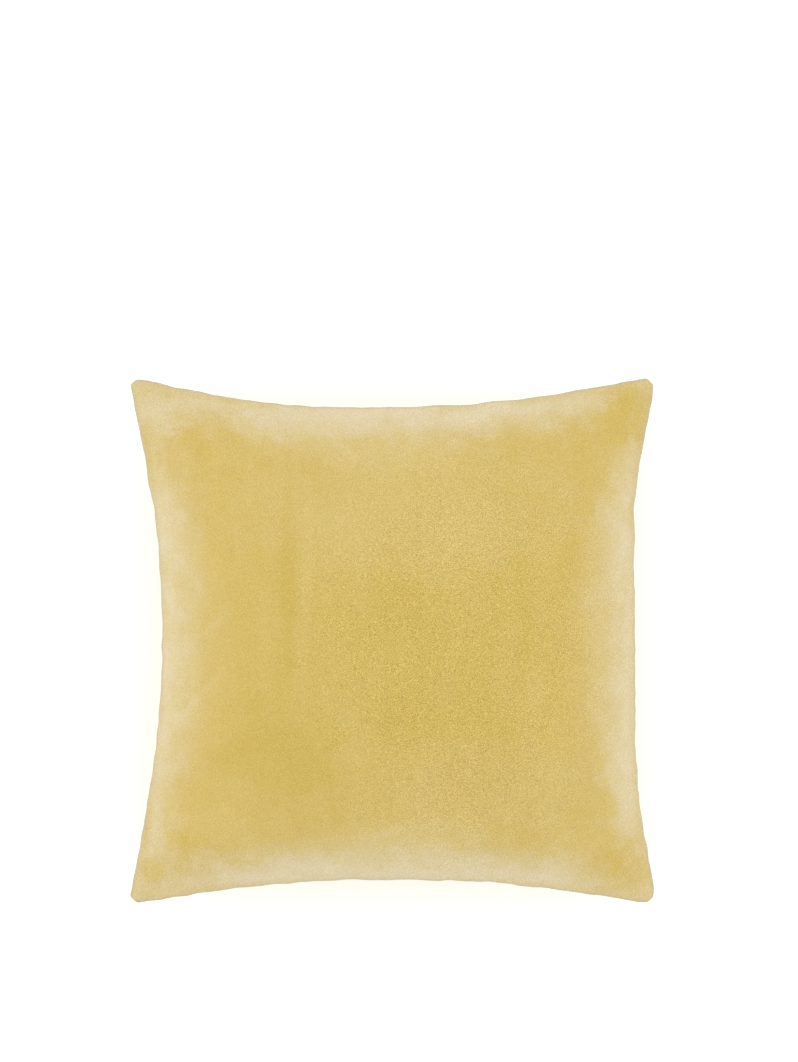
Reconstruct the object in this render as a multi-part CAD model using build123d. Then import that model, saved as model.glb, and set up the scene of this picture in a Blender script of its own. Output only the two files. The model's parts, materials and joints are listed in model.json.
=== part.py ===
from build123d import *
import os
from math import comb, degrees, sqrt

import numpy as np

# Square throw pillow, 450 mm size, lying on its back with the front face up.
# +Z is up out of the front face, +X to the right and +Y to the top of that face.
# The outer seam lies in one level plane, and the pillow rests on the floor at z = 0.

# ---- overall size of the filled cover
HALF = 220.0            # half the distance between neighbouring corner tips
PULL_LEFT = 24.0        # how far each side draws in at its middle when filled
PULL_RIGHT = 15.0
PULL_BOTTOM = 17.0
PULL_TOP = 22.0
CROWN = 76.0            # front face above the seam plane
CROWN_SHOULDER = 0.6    # fullness of the front towards the seams
BELLY = 66.0            # seam plane above the floor
BELLY_PRESS = 1.5       # depth of belly pressed flat by the pillow's own weight
BELLY_SHOULDER = 0.9    # fullness of the back towards the seams

# ---- cover
VELVET = 1.4            # velvet with its pile
ALLOWANCE_THICK = 1.2   # one seam allowance, pile crushed
ALLOWANCE = 12.0        # width of the seam allowances
CORNER_BLUNT = 3.0      # corner tip lost to the stitch across it
THREAD = 0.6            # sewing thread
SEAM_INSET = 2.6        # stitch line from the outer edge, inside the fold
OVERLOCK_WIDTH = 4.5    # overlocking over the raw edges
OVERLOCK_THICK = 0.3

# ---- insert pad
SOFT_GAP = 0.3          # room left between soft layers
CASE = 0.6              # nonwoven case of the insert
CASE_ALLOWANCE = 8.0
INSERT_INSET = 14.5     # insert seam inside the cover seam
INSERT_ZIP_INSET = 23.0 # the same on the zip side
CLOSING_LENGTH = 150.0  # hand-filling gap, sewn shut from outside
CLOSING_HEIGHT = 1.6
CLOSING_PITCH = 5.0
CASE_THREAD = 0.4

# ---- concealed zip in the bottom seam, size 3
WINDOW = 340.0          # length of the opening
WINDOW_DROP = 7.4       # front edge laps over the back edge by this gap
ZIP_FACING = 20.5       # width of the folded edges that carry the tapes
CHAIN_INSET = 9.0       # chain behind the front edge
COIL_DEEP = 2.2
COIL_HALF = 1.9         # half width of the closed chain
TAPE = 0.4
TAPE_END = 19.5
SLIDER_PLATE = 0.8
SLIDER_FLANGE = 0.4
SLIDER_LENGTH = 8.6
SLIDER_REACH = 3.05     # half width at the wide end
SLIDER_NARROW = 2.6     # half width at the narrow end
WEDGE = 1.0             # divider between the two chains
WEDGE_LONG = 1.6
RUN = 0.3               # running room in the slider's slots
COIL_RUN = 0.1          # running room round the coils
CLOSED_SHORT = 13.0     # slider's middle short of the opening's end, closed
OPEN_SHORT = 20.0       # the same at the other end, fully open
STOP_LONG = 2.2
STOP_WRAP = 0.45        # metal folded round the tape's edge
STOP_REACH = 2.5
PIN = 0.9               # cross pin of the pull tab, under the slider's bridge
PIN_ROOM = 0.2
BRIDGE_THICK = 0.8
BRIDGE_WIDE = 1.0
BRIDGE_SPAN = 2.6       # clear length under the bridge
ARM_ROOM = 0.25
ARM_WIDE = 0.8          # each arm of the pull tab beside the bridge
ARM_LONG = 2.9
PULL_LONG = 14.0
PULL_THICK = 0.8
PULL_WIDE = 4.4
STITCH = 2.4
STITCH_PITCH = 3.2
STITCH_THICK = 0.2
STITCH_LINE = 15.5      # zip stitching behind the front edge
TACK_LONG = 2.5

# ---- sewn-in labels
LABEL_WIDE = 30.0
LABEL_THICK = 0.3
LABEL_DEEP = 12.0

BIG = 3.0 * HALF
DEGREE = 4


def bernstein(t):
    return [comb(DEGREE, k) * t**k * (1 - t) ** (DEGREE - k) for k in range(DEGREE + 1)]


def fullness(u, shoulder):
    """Height of a filled square across one direction, 0 at the seams and 1 in the middle."""
    return (1 - u * u) * (1 + shoulder * u * u)


def dome(left_right, bottom_top, centre_y, height, shoulder):
    """A filled half pillow standing on the seam plane, as one smooth patch and its base."""

    def point(u, v):
        pull_x = (PULL_LEFT + PULL_RIGHT) / 2 + (PULL_RIGHT - PULL_LEFT) / 2 * u
        pull_y = (PULL_BOTTOM + PULL_TOP) / 2 + (PULL_TOP - PULL_BOTTOM) / 2 * v
        x = u * (left_right - pull_x * (1 - v * v))
        y = centre_y + v * (bottom_top - pull_y * (1 - u * u))
        return x, y, height * fullness(u, shoulder) * fullness(v, shoulder)

    steps = [k / DEGREE for k in range(DEGREE + 1)]
    to_control = np.linalg.inv(np.array([bernstein(t) for t in steps]))
    on_patch = np.array([[point(2 * a - 1, 2 * b - 1) for b in steps] for a in steps])
    control = np.einsum("ij,jkc,lk->ilc", to_control, on_patch, to_control)
    patch = Face.make_bezier_surface([[Vector(*p) for p in row] for row in control.tolist()])
    return Solid(Shell([patch, Face(Wire(patch.edges()))]))


def outline(half_x, half_y, centre_y=0.0):
    """The seam's outline: four shallow arcs drawn in at their middles."""
    corners = [(-half_x, -half_y), (half_x, -half_y), (half_x, half_y), (-half_x, half_y)]
    pulls = [(0, PULL_BOTTOM), (-PULL_RIGHT, 0), (0, -PULL_TOP), (PULL_LEFT, 0)]
    edges = []
    for k, (pull_x, pull_y) in enumerate(pulls):
        x0, y0 = corners[k]
        x1, y1 = corners[(k + 1) % 4]
        middle = ((x0 + x1) / 2 + 2 * pull_x, centre_y + (y0 + y1) / 2 + 2 * pull_y)
        edges.append(Bezier((x0, centre_y + y0), middle, (x1, centre_y + y1)))
    return Wire(edges)


def plate(inset, bottom, top):
    """A level plate filling the cover's outline, set in by inset."""
    face = Face(outline(HALF - inset, HALF - inset))
    return Solid.extrude(face, Vector(0, 0, top - bottom)).moved(Location((0, 0, bottom)))


def ring(outer_inset, inner_inset, bottom, top):
    return plate(outer_inset, bottom, top) - plate(inner_inset, bottom - 1, top + 1)


def slab(bottom, top):
    """Everything between two levels."""
    return Pos(0, 0, (bottom + top) / 2) * Box(BIG, BIG, top - bottom)


# The bottom seam is so shallow an arc that a circle follows it: the zip is bent round that circle.
ZIP_SAG = PULL_BOTTOM * (WINDOW / 2 / HALF) ** 2
SEAM_RADIUS = (WINDOW / 2) ** 2 / (2 * ZIP_SAG) + ZIP_SAG / 2
SEAM_MIDDLE_Y = -(HALF - PULL_BOTTOM)
ARC_Y = SEAM_MIDDLE_Y - SEAM_RADIUS
CHAIN_Z = -WINDOW_DROP / 2
CLOSED_AT = WINDOW / 2 - CLOSED_SHORT
OPEN_AT = OPEN_SHORT - WINDOW / 2


def at_seam(along):
    """Place a piece drawn at the middle of the bottom seam at a distance along that seam."""
    turn = -degrees(along / SEAM_RADIUS)
    return Pos(0, ARC_Y, 0) * Rot(0, 0, turn) * Pos(0, -ARC_Y, 0)


def along_seam(profile, start, end):
    """Sweep a profile of (distance behind the front edge, height) along the bottom seam."""
    points = [(0, SEAM_MIDDLE_Y + s, z) for s, z in profile]
    face = Face(Wire.make_polygon([Vector(*p) for p in points], close=True))
    turn = degrees((end - start) / SEAM_RADIUS)
    arc = Solid.revolve(face, turn, Axis((0, ARC_Y, 0), (0, 0, 1)))
    return at_seam(end) * arc


def strip(s0, s1, z0, z1, start, end):
    return along_seam([(s0, z0), (s1, z0), (s1, z1), (s0, z1)], start, end)


def cut_corners(solid):
    """Blunt the four corner tips where the seam is stitched across them."""
    reach = HALF * sqrt(2) - CORNER_BLUNT
    block = Pos(reach + 50, 0, 0) * Box(100, 100, 400)
    for k in range(4):
        solid = solid - Rot(0, 0, 45 + 90 * k) * block
    return solid


def one(shape):
    """The single solid of a shape that must be in one piece."""
    solids = shape.solids()
    assert len(solids) == 1, len(solids)
    return solids[0]


def runs(shape):
    """The runs of an overlocked edge, which stop where a corner is too shallow for it."""
    solids = shape.solids()
    return solids[0] if len(solids) == 1 else Compound(list(solids))


parts = {}
below = Rot(180, 0, 0)
half_window = WINDOW / 2

# ---- velvet cover, front: shell, folded allowances, wider facing over the zip
front_dome = dome(HALF, HALF, 0, CROWN, CROWN_SHOULDER)
front_hollow = Pos(0, 0, -VELVET) * front_dome
facing = strip(-5, ZIP_FACING, -1, ALLOWANCE_THICK, -half_window - 4, half_window + 4)
hollow = front_hollow & slab(ALLOWANCE_THICK, 200)
hollow += (front_hollow & plate(ALLOWANCE, 0, ALLOWANCE_THICK + 0.01)) - facing
thread_groove = ring(SEAM_INSET, SEAM_INSET + THREAD, -THREAD / 2, THREAD / 2)
front_panel = cut_corners(front_dome - hollow) - thread_groove
parts["cover_front_panel"] = one(front_panel)

# ---- velvet cover, back: the same, pressed flat on the floor and cut back at the zip
back_dome = mirror(dome(HALF, HALF, 0, BELLY + BELLY_PRESS, BELLY_SHOULDER), Plane.XY)
back_hollow = Pos(0, 0, VELVET) * back_dome & slab(-BELLY + VELVET, 200)
hollow = back_hollow & slab(-200, -ALLOWANCE_THICK)
hollow += back_hollow & plate(ALLOWANCE, -ALLOWANCE_THICK - 0.01, 0)
back_panel = (back_dome & slab(-BELLY, 1)) - hollow
hem_z = -WINDOW_DROP - ALLOWANCE_THICK
hem = strip(0, ZIP_FACING, hem_z, -WINDOW_DROP, -half_window, half_window) & back_dome
window = strip(-10, ZIP_FACING + 2, -WINDOW_DROP, 5, -half_window, half_window)
back_panel = cut_corners(back_panel + hem - window) - thread_groove
parts["cover_back_panel"] = one(back_panel)

# ---- cover sewing
zip_gap = strip(-10, 40, -20, 20, -half_window, half_window)
thread = ring(SEAM_INSET + 0.05, SEAM_INSET + THREAD - 0.05, 0.05 - THREAD / 2, THREAD / 2 - 0.05)
parts["cover_seam_thread"] = one(thread - zip_gap)
overlock_z = ALLOWANCE_THICK + OVERLOCK_THICK
edge_s = ALLOWANCE + OVERLOCK_THICK
overlock = ring(edge_s - OVERLOCK_WIDTH, edge_s, -overlock_z, overlock_z)
overlock = overlock - ring(0, ALLOWANCE, -ALLOWANCE_THICK, ALLOWANCE_THICK)
wide_gap = strip(-10, 40, -20, 20, -half_window - 5, half_window + 5)
inside = (Pos(0, 0, -SOFT_GAP) * front_hollow) & slab(0, 200)
inside += (Pos(0, 0, SOFT_GAP) * back_hollow) & slab(-200, 0)
parts["cover_edge_overlock"] = runs((overlock & inside) - wide_gap)

# ---- zip tapes: flat on the folded edges, turned down and up to meet at the chain
tape_s = CHAIN_INSET + COIL_DEEP
coil_top = CHAIN_Z + COIL_HALF
coil_bottom = CHAIN_Z - COIL_HALF
tape_front = [
    (tape_s, 0), (TAPE_END, 0), (TAPE_END, -TAPE), (tape_s + TAPE, -TAPE),
    (tape_s + TAPE, CHAIN_Z + WEDGE), (tape_s, CHAIN_Z + WEDGE),
]
tape_back = [(s, -WINDOW_DROP - z) for s, z in tape_front]
tape_half = half_window - 0.4
parts["zip_front_tape"] = along_seam(tape_front, -tape_half, tape_half)
parts["zip_back_tape"] = along_seam(tape_back, -tape_half, tape_half)

# ---- zip coils: closed along the seam, parted round the slider's divider at the closed end
chain_start = OPEN_AT - SLIDER_LENGTH / 2 - 1.0
chain_end = CLOSED_AT + SLIDER_LENGTH / 2 + 1.0
part_at = CLOSED_AT + SLIDER_LENGTH / 2 - WEDGE_LONG - 1.0
parting = WEDGE / 2 + COIL_RUN
coil_s = CHAIN_INSET
for name, side in (("zip_front_coil", 1), ("zip_back_coil", -1)):
    levels = sorted((CHAIN_Z, CHAIN_Z + side * COIL_HALF))
    closed = strip(coil_s, tape_s, levels[0], levels[1], chain_start, part_at + 0.5)
    lifted = [z + side * parting for z in levels]
    parted = strip(coil_s, tape_s, lifted[0], lifted[1], part_at, chain_end)
    parts[name] = one(closed + parted)

# ---- zip stops: folded over the tape edges beyond each end of the slider's run
stop_s0 = CHAIN_INSET + 0.4
stop_s1 = tape_s + TAPE + 0.6
both_tapes = [parts["zip_front_tape"], parts["zip_back_tape"]]
top_stops = []
for side in (1, -1):
    near, far = sorted((CHAIN_Z + side * (WEDGE - STOP_WRAP), CHAIN_Z + side * STOP_REACH))
    stop = strip(stop_s0, stop_s1, near, far, chain_end, chain_end + STOP_LONG)
    top_stops.append(one(stop - both_tapes))
parts["zip_top_stops"] = Compound(top_stops)
bottom_stop = strip(
    stop_s0, stop_s1, CHAIN_Z - STOP_REACH, CHAIN_Z + STOP_REACH, chain_start - STOP_LONG, chain_start
)
parts["zip_bottom_stop"] = one(bottom_stop - both_tapes)

# ---- zip slider, drawn at the middle of the seam and run to the closed end
outer_s = CHAIN_INSET - COIL_RUN
inner_s = tape_s + TAPE + RUN
reach = [
    (-SLIDER_LENGTH / 2, -SLIDER_NARROW), (SLIDER_LENGTH / 2, -SLIDER_REACH),
    (SLIDER_LENGTH / 2, SLIDER_REACH), (-SLIDER_LENGTH / 2, SLIDER_NARROW),
]


def slider_plate(s0, s1, trim):
    """A tapered plate across the chain between two depths behind the front edge."""
    points = [(x, SEAM_MIDDLE_Y + s0, CHAIN_Z + z - (trim if z > 0 else -trim)) for x, z in reach]
    face = Face(Wire.make_polygon([Vector(*p) for p in points], close=True))
    return Solid.extrude(face, Vector(0, s1 - s0, 0))


body = slider_plate(outer_s - SLIDER_PLATE, tape_s - RUN, 0)
body -= slider_plate(outer_s, tape_s + 1, SLIDER_FLANGE)
body += slider_plate(inner_s, inner_s + SLIDER_PLATE, 0)
wedge_x = SLIDER_LENGTH / 2 - WEDGE_LONG / 2
wedge_deep = inner_s - outer_s + 0.4
wedge_y = SEAM_MIDDLE_Y + (inner_s + outer_s) / 2
body += Pos(wedge_x, wedge_y, CHAIN_Z) * Box(WEDGE_LONG, wedge_deep, WEDGE)
bridge_s = outer_s - SLIDER_PLATE
pin_s = bridge_s - PIN_ROOM - PIN / 2
pin_y = SEAM_MIDDLE_Y + pin_s
bridge_stands = PIN + 2 * PIN_ROOM + BRIDGE_THICK
for side in (1, -1):
    foot_x = side * (BRIDGE_SPAN + BRIDGE_THICK) / 2
    foot_y = SEAM_MIDDLE_Y + bridge_s - bridge_stands / 2 + 0.1
    body += Pos(foot_x, foot_y, CHAIN_Z) * Box(BRIDGE_THICK, bridge_stands + 0.2, BRIDGE_WIDE)
bar_y = SEAM_MIDDLE_Y + bridge_s - bridge_stands + BRIDGE_THICK / 2
body += Pos(0, bar_y, CHAIN_Z) * Box(BRIDGE_SPAN + 2 * BRIDGE_THICK, BRIDGE_THICK, BRIDGE_WIDE)
parts["zip_slider"] = one(at_seam(CLOSED_AT) * body)

# ---- pull tab: a pin under the bridge, two arms beside it and a flat tab along the seam
arm_z = BRIDGE_WIDE / 2 + ARM_ROOM + ARM_WIDE / 2
pull = Pos(0, pin_y, CHAIN_Z) * Cylinder(PIN / 2, 2 * arm_z)
for side in (1, -1):
    arm_x = (PIN / 2 - ARM_LONG) / 2
    arm = Box(ARM_LONG + PIN / 2, PULL_THICK, ARM_WIDE)
    pull += Pos(arm_x, pin_y, CHAIN_Z + side * arm_z) * arm
arm_edge = arm_z + ARM_WIDE / 2
tab_points = [
    (-ARM_LONG, arm_edge), (-PULL_LONG + 3.5, PULL_WIDE / 2), (-PULL_LONG + 1.0, PULL_WIDE / 2),
    (-PULL_LONG, PULL_WIDE / 2 - 1.0), (-PULL_LONG, -PULL_WIDE / 2 + 1.0),
    (-PULL_LONG + 1.0, -PULL_WIDE / 2), (-PULL_LONG + 3.5, -PULL_WIDE / 2), (-ARM_LONG, -arm_edge),
]
tab_y = pin_y - PULL_THICK / 2
tab_face = Face(Wire.make_polygon([Vector(x, tab_y, CHAIN_Z + z) for x, z in tab_points], close=True))
pull += Solid.extrude(tab_face, Vector(0, PULL_THICK, 0))
parts["zip_pull_tab"] = one(at_seam(CLOSED_AT) * pull)

# ---- zip sewing: a row of stitches on each tape and a bar tack at each end of the opening
tack_end = tape_half
tack_start = tape_half - TACK_LONG
stitch_half = tack_start - 1.5
stitch_count = int(2 * stitch_half / STITCH_PITCH)
stitch_levels = {
    "zip_front_stitching": -TAPE - STITCH_THICK,
    "zip_back_stitching": -WINDOW_DROP + TAPE,
}
for name, level in stitch_levels.items():
    row = []
    for k in range(stitch_count):
        along = (k - (stitch_count - 1) / 2) * STITCH_PITCH
        stitch_y = SEAM_MIDDLE_Y + STITCH_LINE
        block = Pos(0, stitch_y, level + STITCH_THICK / 2) * Box(STITCH, 0.4, STITCH_THICK)
        row.append(at_seam(along) * block)
    parts[name] = Compound(row)
tack_z = (-WINDOW_DROP + TAPE, -TAPE)
tacks = [
    strip(STITCH_LINE - 2, STITCH_LINE + 2, *tack_z, *sorted((side * tack_start, side * tack_end)))
    for side in (1, -1)
]
parts["zip_bar_tacks"] = Compound(tacks)

# ---- care label, folded flat on the facing inside the cover
label_top = ALLOWANCE_THICK + LABEL_THICK
label_s = ZIP_FACING - 2.0 - LABEL_DEEP / 2
label = Box(LABEL_WIDE, LABEL_DEEP, LABEL_THICK)
label_place = Pos(0, SEAM_MIDDLE_Y + label_s, ALLOWANCE_THICK + LABEL_THICK / 2)
parts["cover_care_label"] = at_seam(-WINDOW / 4) * label_place * label

# ---- insert pad: the same build in thin nonwoven, clear of the zip and of the cover's allowances
corner_y = HALF - INSERT_ZIP_INSET
room = HALF - edge_s
room -= max(PULL_LEFT, PULL_RIGHT) * (1 - (corner_y / room) ** 2)
insert_x = min(HALF - INSERT_INSET, room - SOFT_GAP)
insert_y = HALF - (INSERT_INSET + INSERT_ZIP_INSET) / 2
insert_centre = (INSERT_ZIP_INSET - INSERT_INSET) / 2
under_velvet = VELVET + SOFT_GAP
insert_front = dome(insert_x, insert_y, insert_centre, CROWN - under_velvet, CROWN_SHOULDER)
insert_back = dome(
    insert_x, insert_y, insert_centre, BELLY + BELLY_PRESS - under_velvet, BELLY_SHOULDER
)
insert_back = mirror(insert_back, Plane.XY)
insert_floor = -BELLY + under_velvet


def insert_plate(inset, bottom, top):
    face = Face(outline(insert_x - inset, insert_y - inset, insert_centre))
    return Solid.extrude(face, Vector(0, 0, top - bottom)).moved(Location((0, 0, bottom)))


def insert_ring(outer_inset, inner_inset, bottom, top):
    return insert_plate(outer_inset, bottom, top) - insert_plate(inner_inset, bottom - 1, top + 1)


case_groove = insert_ring(SEAM_INSET, SEAM_INSET + CASE_THREAD, -CASE_THREAD / 2, CASE_THREAD / 2)
inner_front = Pos(0, 0, -CASE) * insert_front
hollow = inner_front & slab(CASE, 200)
hollow += inner_front & insert_plate(CASE_ALLOWANCE, 0, CASE + 0.01)
parts["insert_front_case"] = one(insert_front - hollow - case_groove)

inner_back = (Pos(0, 0, CASE) * insert_back) & slab(insert_floor + CASE, 200)
hollow = inner_back & slab(-200, -CASE)
hollow += inner_back & insert_plate(CASE_ALLOWANCE, -CASE - 0.01, 0)
parts["insert_back_case"] = one((insert_back & slab(insert_floor, 1)) - hollow - case_groove)

thread_z = CASE_THREAD / 2 - 0.05
thread = insert_ring(SEAM_INSET + 0.05, SEAM_INSET + CASE_THREAD - 0.05, -thread_z, thread_z)
parts["insert_seam_thread"] = one(thread)
edge_z = CASE + OVERLOCK_THICK
edge_s = CASE_ALLOWANCE + OVERLOCK_THICK
overlock = insert_ring(edge_s - OVERLOCK_WIDTH, edge_s, -edge_z, edge_z)
overlock = overlock - insert_ring(0, CASE_ALLOWANCE, -CASE, CASE)
inside = (Pos(0, 0, -SOFT_GAP) * inner_front) & slab(0, 200)
inside += (Pos(0, 0, SOFT_GAP) * inner_back) & slab(-200, 0)
parts["insert_edge_overlock"] = runs(overlock & inside)

# whip stitches that close the filling gap, along the top seam of the insert
closing = []
closing_count = int(CLOSING_LENGTH / CLOSING_PITCH)
for k in range(closing_count):
    x = (k - (closing_count - 1) / 2) * CLOSING_PITCH
    edge_y = insert_centre + insert_y - PULL_TOP * (1 - (x / insert_x) ** 2)
    loop = Box(THREAD, THREAD, CLOSING_HEIGHT)
    closing.append(Pos(x, edge_y + THREAD / 2 + 0.05, 0) * loop)
parts["insert_closing_stitch"] = Compound(closing)

label_skin = (Pos(0, 0, LABEL_THICK + 0.1) * insert_front) - (Pos(0, 0, 0.1) * insert_front)
label_block = Pos(-insert_x + 60, -insert_y / 3, 50) * Box(LABEL_WIDE + 10, LABEL_WIDE, 99)
parts["insert_label"] = one(label_skin & label_block)

# ---- loose polyester fibre, filling the insert
fill_inset = CASE_ALLOWANCE + 1.2
fill_x = insert_x - fill_inset
fill_y = insert_y - fill_inset
under_case = under_velvet + CASE + SOFT_GAP
fill_front = dome(fill_x, fill_y, insert_centre, CROWN - under_case, CROWN_SHOULDER)
fill_back = dome(fill_x, fill_y, insert_centre, BELLY + BELLY_PRESS - under_case, BELLY_SHOULDER)
halves = (fill_front, mirror(fill_back, Plane.XY))
skins = [half.faces().sort_by(SortBy.AREA)[-1] for half in halves]
filling = Solid(Shell(skins)) & slab(-BELLY + under_case, 200)
parts["fibre_filling"] = one(filling)

os.makedirs("parts", exist_ok=True)
for name, shape in parts.items():
    export_step(shape.moved(Location((0, 0, BELLY))), "parts/" + name + ".step")
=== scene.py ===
"""A square velvet throw pillow with its zip, insert pad and studio, as an add-on file run as a script."""

import json
import math

import bpy
import numpy as np
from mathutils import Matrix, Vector, noise


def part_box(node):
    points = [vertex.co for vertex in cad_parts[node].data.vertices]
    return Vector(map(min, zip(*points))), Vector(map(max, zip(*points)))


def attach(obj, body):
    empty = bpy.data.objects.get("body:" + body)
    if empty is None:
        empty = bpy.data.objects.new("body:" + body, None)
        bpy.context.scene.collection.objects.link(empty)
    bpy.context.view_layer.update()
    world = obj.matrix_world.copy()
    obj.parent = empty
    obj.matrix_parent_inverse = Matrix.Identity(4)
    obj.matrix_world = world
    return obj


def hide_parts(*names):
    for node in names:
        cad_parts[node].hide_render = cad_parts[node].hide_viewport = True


bl_info = {
    "name": "Velvet Throw Pillow",
    "version": (1, 0, 0),
    "blender": (4, 5, 0),
    "location": "3D View > Sidebar > Pillow",
    "description": "Dresses the packed pillow in velvet, with its zip, insert pad and studio",
    "category": "Object",
}

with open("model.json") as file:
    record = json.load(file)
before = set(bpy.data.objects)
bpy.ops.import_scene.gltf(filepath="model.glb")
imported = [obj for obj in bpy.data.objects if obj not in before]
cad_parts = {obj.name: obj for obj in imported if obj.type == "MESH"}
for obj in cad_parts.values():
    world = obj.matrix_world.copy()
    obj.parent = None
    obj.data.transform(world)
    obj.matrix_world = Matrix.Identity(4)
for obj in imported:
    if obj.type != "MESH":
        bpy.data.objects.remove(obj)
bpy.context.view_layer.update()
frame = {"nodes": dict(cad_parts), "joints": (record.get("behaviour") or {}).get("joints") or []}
BODY = "pillow"
FRONT_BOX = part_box("cover_front_panel")
SEAM_Z = FRONT_BOX[0][2]
CROWN = FRONT_BOX[1][2] - SEAM_Z
MM = 0.001

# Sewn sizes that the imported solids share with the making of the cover.
HALF = 0.220
FRONT_SHOULDER = 0.6
BACK_SHOULDER = 0.9
BELLY_PRESS = 0.0015
BELLY = SEAM_Z + BELLY_PRESS
WINDOW_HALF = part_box("zip_front_tape")[1][0]
WINDOW_DROP = SEAM_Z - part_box("zip_back_tape")[0][2]
ZIP_FACING = 0.0205
CORNER_ROUND = 0.0075
CORNER_LAYERS = 0.0034
SEAM_SHADE = 0.0015
FLOOR_CLEARANCE = 0.0005
FLOOR_BLEND = 0.0012
CREASE_LIMIT = 0.006
ALLOWANCE = 0.012
SEAM_STEP = 0.0015
OVERLOCK_STEP = 0.0009
COVER_SEAM_INSET = 0.0030
COVER_OVERLOCK = (0.0082, 0.0122)
CARE_LABEL = (0.030, 0.012)
CASE_ALLOWANCE = 0.008
CASE_SEAM_INSET = 0.0028
CASE_SEAM_STEP = 0.0013
CASE_OVERLOCK = (0.0040, 0.0081)
CLOSING_STITCHES = 30
CLOSING_PITCH = 0.005
CASE_INSET = 0.0145
CASE_INSET_ZIP = 0.023
CASE_DROP = 0.0024
CASE_THICKNESS = 0.0004
FILL_INSET = 0.024
FILL_INSET_ZIP = 0.0325
FILL_DROP = 0.0045
RIBBON_THICKNESS = 0.00028
TAPE_THICKNESS = 0.00036
TAPE_BEND = 0.0008
TAPE_BEND_AT = 0.0114
TACK_TURNS = 25
COIL_PITCH = 0.0013
COIL_ENDS = (-0.1553, 0.1590)
COIL_MIDDLE = 0.0101
COIL_STEPS = 10
ZIP_STITCHES = 103
ZIP_STITCH_PITCH = 0.0032
ZIP_STITCH_LINE = 0.0155
PANEL_CELLS = 150
CASE_CELLS = 90
FILL_CELLS = 80

cloth = {}


# ---------------------------------------------------------------- settings

def amount(name, description, default, unit="NONE"):
    return bpy.props.FloatProperty(name=name, description=description, default=default, unit=unit)


def length(name, description, default):
    return amount(name, description, default, unit="LENGTH")


def colour(name, description, default):
    return bpy.props.FloatVectorProperty(
        name=name, description=description, default=default, subtype="COLOR", size=3)


class PillowShape(bpy.types.PropertyGroup):
    cut_size: length("Cut size", "Side of each flat panel, seam to seam", 0.45)
    pressure: amount("Filling pressure", "How hard the filling pushes while the panels settle", 2.2)
    settle_frames: bpy.props.IntProperty(
        name="Settling steps", description="Steps of cloth simulation", default=26)
    crease_share: amount("Crease strength", "How much of the settled creasing is kept", 0.35)
    pucker: length("Seam pucker", "Height of the ripples along the seams", 0.0009)
    seam_wander: length("Seam wander", "How far the seams stray from an even curve", 0.0012)
    fold_radius: length("Fold radius", "Radius of the velvet where it turns into the seam", 0.0014)
    velvet: length("Velvet thickness", "Thickness of the velvet with its pile", 0.0012)


class PillowColours(bpy.types.PropertyGroup):
    pile: colour("Pile", "Pile seen straight on", (0.665, 0.50, 0.158))
    pile_deep: colour("Pile, brushed down", "Pile that is stroked away", (0.62, 0.452, 0.113))
    # Painted sheen: the pale colour mixed into the pile along the seams and at a shallow angle, in place of
    # light on the fibres' sides
    painted_sheen: colour("Painted sheen", "Fibre sides at a shallow angle", (0.725, 0.618, 0.398))
    # Painted shade: the darker colour of the thin line where the pile turns over the seam
    edge: colour("Painted seam shade", "Pile that turns over the seam", (0.56, 0.50, 0.32))
    thread: colour("Thread", "The cover's thread and zip tape", (0.50, 0.37, 0.12))
    nonwoven: colour("Insert case", "The insert's nonwoven case", (0.83, 0.83, 0.82))


class PillowStudio(bpy.types.PropertyGroup):
    lens: amount("Lens", "Focal length on a 36 mm frame", 100.0)
    frame_height: length("Frame height", "Height of the view at the seam", 0.9022)
    offset_x: length("Offset X", "Camera to the right of the pillow", 0.0051)
    offset_y: length("Offset Y", "Camera above the pillow's middle", 0.093)
    sky: amount("Room light", "Strength of the even light of the room", 0.92)
    floor_glow: amount("Floor glow", "Light of the white floor itself", 0.27)
    key: amount("Key light", "Power of the large soft key light", 4.0, unit="POWER")
    fill: amount("Fill light", "Power of each soft side light", 6.0, unit="POWER")


# ---------------------------------------------------------------- cloth surface

def fullness(u, shoulder):
    """Height of a filled square across one direction, nought at the seams."""
    return (1 - u * u) * (1 + shoulder * u * u)


def side_reach(axis, sign):
    """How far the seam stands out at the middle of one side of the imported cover."""
    mesh = frame["nodes"]["cover_front_panel"].data
    points = np.empty(len(mesh.vertices) * 3)
    mesh.vertices.foreach_get("co", points)
    points = points.reshape(-1, 3)
    near = points[np.abs(points[:, 1 - axis]) < 0.02]
    return float(np.abs(near[near[:, axis] * sign > 0][:, axis]).max())


# Where the pile has been stroked: across, up, half width, half height, raggedness, lighter or darker.
BRUSHED = [
    (-0.086, 0.064, 0.007, 0.105, 0.25, -0.45),
    (-0.071, 0.070, 0.005, 0.100, 0.25, 0.35),
    (-0.095, -0.090, 0.055, 0.050, 0.50, -0.50),
    (0.010, -0.020, 0.075, 0.085, 0.45, -0.18),
    (-0.150, -0.150, 0.026, 0.016, 0.60, 0.70),
    (0.020, -0.165, 0.085, 0.018, 0.60, 0.45),
    (0.178, 0.020, 0.020, 0.130, 0.50, 0.35),
    (0.150, -0.165, 0.035, 0.020, 0.60, 0.50),
    (-0.060, 0.165, 0.110, 0.022, 0.60, 0.35),
    (0.020, 0.110, 0.170, 0.060, 0.35, 0.35),
]
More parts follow.
